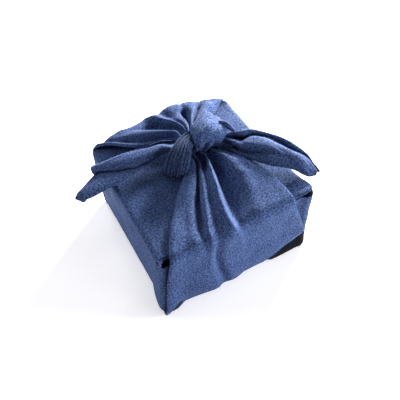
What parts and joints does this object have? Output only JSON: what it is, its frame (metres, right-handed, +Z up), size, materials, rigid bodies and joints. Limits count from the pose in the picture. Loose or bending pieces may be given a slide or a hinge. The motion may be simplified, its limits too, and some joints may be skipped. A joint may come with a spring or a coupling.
{
  "type": "furoshiki wrap",
  "caption": "Square cotton cloth folded round a box shape: plain flaps crossed on top, the tied corners gathered over them into a flat knot with soft ears.",
  "frame": {"origin": "middle of the wrapped square base, on the surface it stands on", "axes": "+Z up through the knot; -Y is the front face with the smooth tied flap; -X is the plain face below the longer ear"},
  "size_m": [0.2725, 0.2135, 0.1485],
  "materials": {
    "cotton_cloth": "matt mottled indigo plain weave, slubby yarn, narrow stitched hem"
  },
  "bodies": {
    "root": {"wrapping_cloth": "cotton_cloth"}
  },
  "joints": []
}
